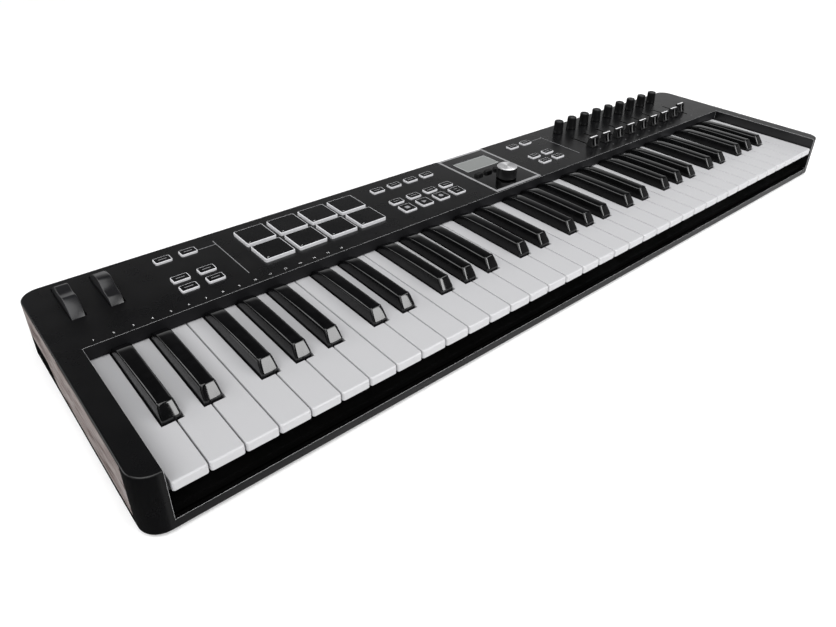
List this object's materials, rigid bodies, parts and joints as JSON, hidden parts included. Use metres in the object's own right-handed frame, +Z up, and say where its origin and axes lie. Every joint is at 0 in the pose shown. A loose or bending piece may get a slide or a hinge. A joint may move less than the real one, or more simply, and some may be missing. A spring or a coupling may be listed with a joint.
{
  "type": "controller keyboard",
  "caption": "Full-size piano-style controller keyboard in a flat black case with pads, buttons, a display with a push dial, knobs, faders, two wheels and wood-look end cheeks.",
  "frame": {"origin": "middle of the base, on the surface that the feet stand on", "axes": "+X to the player's right along the keys, +Y away from the player to the rear panel, +Z up"},
  "size_m": [0.885, 0.241, 0.0671],
  "materials": {
    "case_black": "satin moulded, fine texture",
    "cheek_wood": "grey-brown laminate, satin",
    "foot_rubber": "matte",
    "key_white": "satin gloss moulded",
    "key_black": "glossy",
    "wheel_grey": "satin",
    "knob_rubber": "soft touch",
    "fader_black": "satin with a white pointer line",
    "frame_steel": "zinc plated",
    "circuit_board": "green solder mask",
    "contact_rubber": "matte",
    "stop_felt": "felt",
    "surround_silver": "satin silver",
    "display_grey": "satin dark grey",
    "display_glass": "clear cover over a grey liquid-crystal cell",
    "dial_black": "black skirt with a spun silver top",
    "menu_rubber": "matte",
    "button_silicone": "translucent grey with black caps",
    "pad_silicone": "grey rim under a dark face"
  },
  "bodies": {
    "case": {"bottom_case": "case_black", "top_case": "case_black", "left_cheek": "cheek_wood", "right_cheek": "cheek_wood", "front_left_foot": "foot_rubber", "front_right_foot": "foot_rubber", "rear_left_foot": "foot_rubber", "rear_right_foot": "foot_rubber", "keybed_frame": "frame_steel", "key_contact_board": "circuit_board", "key_contact_rubber": "contact_rubber", "key_stop_felt": "stop_felt", "panel_board": "circuit_board", "main_board": "circuit_board", "display_surround": "surround_silver", "display_plate": "display_grey", "display_module": "display_glass"},
    "octave_1_naturals_c_e_g_b": {"octave_1_naturals_c_e_g_b": "key_white"},
    "octave_1_naturals_d_f_a": {"octave_1_naturals_d_f_a": "key_white"},
    "octave_1_sharps": {"octave_1_sharps": "key_black"},
    "octave_2_naturals_c_e_g_b": {"octave_2_naturals_c_e_g_b": "key_white"},
    "octave_2_naturals_d_f_a": {"octave_2_naturals_d_f_a": "key_white"},
    "octave_2_sharps": {"octave_2_sharps": "key_black"},
    "octave_3_naturals_c_e_g_b": {"octave_3_naturals_c_e_g_b": "key_white"},
    "octave_3_naturals_d_f_a": {"octave_3_naturals_d_f_a": "key_white"},
    "octave_3_sharps": {"octave_3_sharps": "key_black"},
    "octave_4_naturals_c_e_g_b": {"octave_4_naturals_c_e_g_b": "key_white"},
    "octave_4_naturals_d_f_a": {"octave_4_naturals_d_f_a": "key_white"},
    "octave_4_sharps": {"octave_4_sharps": "key_black"},
    "octave_5_naturals_c_e_g_b": {"octave_5_naturals_c_e_g_b": "key_white"},
    "octave_5_naturals_d_f_a": {"octave_5_naturals_d_f_a": "key_white"},
    "octave_5_sharps": {"octave_5_sharps": "key_black"},
    "top_natural_c": {"top_natural_c": "key_white"},
    "pitch_wheel": {"pitch_wheel": "wheel_grey"},
    "modulation_wheel": {"modulation_wheel": "wheel_grey"},
    "knob_1": {"knob_1": "knob_rubber"},
    "fader_cap_1": {"fader_cap_1": "fader_black"},
    "knob_2": {"knob_2": "knob_rubber"},
    "fader_cap_2": {"fader_cap_2": "fader_black"},
    "knob_3": {"knob_3": "knob_rubber"},
    "fader_cap_3": {"fader_cap_3": "fader_black"},
    "knob_4": {"knob_4": "knob_rubber"},
    "fader_cap_4": {"fader_cap_4": "fader_black"},
    "knob_5": {"knob_5": "knob_rubber"},
    "fader_cap_5": {"fader_cap_5": "fader_black"},
    "knob_6": {"knob_6": "knob_rubber"},
    "fader_cap_6": {"fader_cap_6": "fader_black"},
    "knob_7": {"knob_7": "knob_rubber"},
    "fader_cap_7": {"fader_cap_7": "fader_black"},
    "knob_8": {"knob_8": "knob_rubber"},
    "fader_cap_8": {"fader_cap_8": "fader_black"},
    "knob_9": {"knob_9": "knob_rubber"},
    "fader_cap_9": {"fader_cap_9": "fader_black"},
    "dial_shaft": {"dial_shaft": "frame_steel"},
    "menu_dial": {"menu_dial": "dial_black"},
    "left_keypad": {"left_keypad": "button_silicone"},
    "transport_keypad": {"transport_keypad": "button_silicone"},
    "right_keypad": {"right_keypad": "button_silicone"},
    "menu_keypad": {"menu_keypad": "menu_rubber"},
    "drum_pad_mat": {"drum_pad_mat": "pad_silicone"}
  },
  "joints": [
    {"name": "octave_1_naturals_c_e_g_b_press", "type": "hinge", "parent": "case", "child": "octave_1_naturals_c_e_g_b", "pos_m": [0, 0.0379, 0.0273], "axis": [1, 0, 0], "range_deg": [0, 3.6], "stiffness_Nm_per_rad": 1.5, "springref_deg": -8.59},
    {"name": "octave_1_naturals_d_f_a_press", "type": "hinge", "parent": "case", "child": "octave_1_naturals_d_f_a", "pos_m": [0, 0.0379, 0.0309], "axis": [1, 0, 0], "range_deg": [0, 3.6], "stiffness_Nm_per_rad": 1.2, "springref_deg": -8.59},
    {"name": "octave_1_sharps_press", "type": "hinge", "parent": "case", "child": "octave_1_sharps", "pos_m": [0, 0.0379, 0.0345], "axis": [1, 0, 0], "range_deg": [0, 4.4], "stiffness_Nm_per_rad": 1.2, "springref_deg": -8.59},
    {"name": "octave_2_naturals_c_e_g_b_press", "type": "hinge", "parent": "case", "child": "octave_2_naturals_c_e_g_b", "pos_m": [0, 0.0379, 0.0273], "axis": [1, 0, 0], "range_deg": [0, 3.6], "stiffness_Nm_per_rad": 1.5, "springref_deg": -8.59},
    {"name": "octave_2_naturals_d_f_a_press", "type": "hinge", "parent": "case", "child": "octave_2_naturals_d_f_a", "pos_m": [0, 0.0379, 0.0309], "axis": [1, 0, 0], "range_deg": [0, 3.6], "stiffness_Nm_per_rad": 1.2, "springref_deg": -8.59},
    {"name": "octave_2_sharps_press", "type": "hinge", "parent": "case", "child": "octave_2_sharps", "pos_m": [0, 0.0379, 0.0345], "axis": [1, 0, 0], "range_deg": [0, 4.4], "stiffness_Nm_per_rad": 1.2, "springref_deg": -8.59},
    {"name": "octave_3_naturals_c_e_g_b_press", "type": "hinge", "parent": "case", "child": "octave_3_naturals_c_e_g_b", "pos_m": [0, 0.0379, 0.0273], "axis": [1, 0, 0], "range_deg": [0, 3.6], "stiffness_Nm_per_rad": 1.5, "springref_deg": -8.59},
    {"name": "octave_3_naturals_d_f_a_press", "type": "hinge", "parent": "case", "child": "octave_3_naturals_d_f_a", "pos_m": [0, 0.0379, 0.0309], "axis": [1, 0, 0], "range_deg": [0, 3.6], "stiffness_Nm_per_rad": 1.2, "springref_deg": -8.59},
    {"name": "octave_3_sharps_press", "type": "hinge", "parent": "case", "child": "octave_3_sharps", "pos_m": [0, 0.0379, 0.0345], "axis": [1, 0, 0], "range_deg": [0, 4.4], "stiffness_Nm_per_rad": 1.2, "springref_deg": -8.59},
    {"name": "octave_4_naturals_c_e_g_b_press", "type": "hinge", "parent": "case", "child": "octave_4_naturals_c_e_g_b", "pos_m": [0, 0.0379, 0.0273], "axis": [1, 0, 0], "range_deg": [0, 3.6], "stiffness_Nm_per_rad": 1.5, "springref_deg": -8.59},
    {"name": "octave_4_naturals_d_f_a_press", "type": "hinge", "parent": "case", "child": "octave_4_naturals_d_f_a", "pos_m": [0, 0.0379, 0.0309], "axis": [1, 0, 0], "range_deg": [0, 3.6], "stiffness_Nm_per_rad": 1.2, "springref_deg": -8.59},
    {"name": "octave_4_sharps_press", "type": "hinge", "parent": "case", "child": "octave_4_sharps", "pos_m": [0, 0.0379, 0.0345], "axis": [1, 0, 0], "range_deg": [0, 4.4], "stiffness_Nm_per_rad": 1.2, "springref_deg": -8.59},
    {"name": "octave_5_naturals_c_e_g_b_press", "type": "hinge", "parent": "case", "child": "octave_5_naturals_c_e_g_b", "pos_m": [0, 0.0379, 0.0273], "axis": [1, 0, 0], "range_deg": [0, 3.6], "stiffness_Nm_per_rad": 1.5, "springref_deg": -8.59},
    {"name": "octave_5_naturals_d_f_a_press", "type": "hinge", "parent": "case", "child": "octave_5_naturals_d_f_a", "pos_m": [0, 0.0379, 0.0309], "axis": [1, 0, 0], "range_deg": [0, 3.6], "stiffness_Nm_per_rad": 1.2, "springref_deg": -8.59},
    {"name": "octave_5_sharps_press", "type": "hinge", "parent": "case", "child": "octave_5_sharps", "pos_m": [0, 0.0379, 0.0345], "axis": [1, 0, 0], "range_deg": [0, 4.4], "stiffness_Nm_per_rad": 1.2, "springref_deg": -8.59},
    {"name": "top_natural_c_press", "type": "hinge", "parent": "case", "child": "top_natural_c", "pos_m": [0, 0.0379, 0.0273], "axis": [1, 0, 0], "range_deg": [0, 3.6], "stiffness_Nm_per_rad": 0.5, "springref_deg": -8.59},
    {"name": "pitch_wheel_turn", "type": "hinge", "parent": "case", "child": "pitch_wheel", "pos_m": [-0.415, 0.0854, 0.0316], "axis": [1, 0, 0], "range_deg": [-30, 30], "stiffness_Nm_per_rad": 0.06},
    {"name": "modulation_wheel_turn", "type": "hinge", "parent": "case", "child": "modulation_wheel", "pos_m": [-0.387, 0.0854, 0.0316], "axis": [1, 0, 0], "range_deg": [-44, 0]},
    {"name": "knob_1_turn", "type": "hinge", "parent": "case", "child": "knob_1", "pos_m": [0.1714, 0.0986, 0.051], "axis": [0, 0, 1], "continuous": true},
    {"name": "fader_1_slide", "type": "slide", "parent": "case", "child": "fader_cap_1", "axis": [0, 1, 0], "range_m": [0, 0.03]},
    {"name": "knob_2_turn", "type": "hinge", "parent": "case", "child": "knob_2", "pos_m": [0.19715, 0.0986, 0.051], "axis": [0, 0, 1], "continuous": true},
    {"name": "fader_2_slide", "type": "slide", "parent": "case", "child": "fader_cap_2", "axis": [0, 1, 0], "range_m": [0, 0.03]},
    {"name": "knob_3_turn", "type": "hinge", "parent": "case", "child": "knob_3", "pos_m": [0.2229, 0.0986, 0.051], "axis": [0, 0, 1], "continuous": true},
    {"name": "fader_3_slide", "type": "slide", "parent": "case", "child": "fader_cap_3", "axis": [0, 1, 0], "range_m": [0, 0.03]},
    {"name": "knob_4_turn", "type": "hinge", "parent": "case", "child": "knob_4", "pos_m": [0.24865, 0.0986, 0.051], "axis": [0, 0, 1], "continuous": true},
    {"name": "fader_4_slide", "type": "slide", "parent": "case", "child": "fader_cap_4", "axis": [0, 1, 0], "range_m": [0, 0.03]},
    {"name": "knob_5_turn", "type": "hinge", "parent": "case", "child": "knob_5", "pos_m": [0.2744, 0.0986, 0.051], "axis": [0, 0, 1], "continuous": true},
    {"name": "fader_5_slide", "type": "slide", "parent": "case", "child": "fader_cap_5", "axis": [0, 1, 0], "range_m": [0, 0.03]},
    {"name": "knob_6_turn", "type": "hinge", "parent": "case", "child": "knob_6", "pos_m": [0.30015, 0.0986, 0.051], "axis": [0, 0, 1], "continuous": true},
    {"name": "fader_6_slide", "type": "slide", "parent": "case", "child": "fader_cap_6", "axis": [0, 1, 0], "range_m": [0, 0.03]},
    {"name": "knob_7_turn", "type": "hinge", "parent": "case", "child": "knob_7", "pos_m": [0.3259, 0.0986, 0.051], "axis": [0, 0, 1], "continuous": true},
    {"name": "fader_7_slide", "type": "slide", "parent": "case", "child": "fader_cap_7", "axis": [0, 1, 0], "range_m": [0, 0.03]},
    {"name": "knob_8_turn", "type": "hinge", "parent": "case", "child": "knob_8", "pos_m": [0.35165, 0.0986, 0.051], "axis": [0, 0, 1], "continuous": true},
    {"name": "fader_8_slide", "type": "slide", "parent": "case", "child": "fader_cap_8", "axis": [0, 1, 0], "range_m": [-0.0025, 0.0275]},
    {"name": "knob_9_turn", "type": "hinge", "parent": "case", "child": "knob_9", "pos_m": [0.3774, 0.0986, 0.051], "axis": [0, 0, 1], "continuous": true},
    {"name": "fader_9_slide", "type": "slide", "parent": "case", "child": "fader_cap_9", "axis": [0, 1, 0], "range_m": [-0.008, 0.022]},
    {"name": "menu_dial_push", "type": "slide", "parent": "case", "child": "dial_shaft", "axis": [0, 0, -1], "range_m": [0, 0.0005], "stiffness_N_per_m": 2000, "springref_m": -0.0005},
    {"name": "menu_dial_turn", "type": "hinge", "parent": "dial_shaft", "child": "menu_dial", "pos_m": [0.0185, 0.0421, 0.051], "axis": [0, 0, 1], "continuous": true},
    {"name": "left_keypad_press", "type": "slide", "parent": "case", "child": "left_keypad", "axis": [0, 0, -1], "range_m": [0, 0.0009], "stiffness_N_per_m": 1500, "springref_m": -0.0008},
    {"name": "transport_keypad_press", "type": "slide", "parent": "case", "child": "transport_keypad", "axis": [0, 0, -1], "range_m": [0, 0.0009], "stiffness_N_per_m": 2500, "springref_m": -0.0008},
    {"name": "right_keypad_press", "type": "slide", "parent": "case", "child": "right_keypad", "axis": [0, 0, -1], "range_m": [0, 0.0009], "stiffness_N_per_m": 1500, "springref_m": -0.0008},
    {"name": "menu_keypad_press", "type": "slide", "parent": "case", "child": "menu_keypad", "axis": [0, 0, -1], "range_m": [0, 0.0006], "stiffness_N_per_m": 1500, "springref_m": -0.0008},
    {"name": "drum_pad_mat_press", "type": "slide", "parent": "case", "child": "drum_pad_mat", "axis": [0, 0, -1], "range_m": [0, 0.0008], "stiffness_N_per_m": 6000, "springref_m": -0.0008}
  ]
}
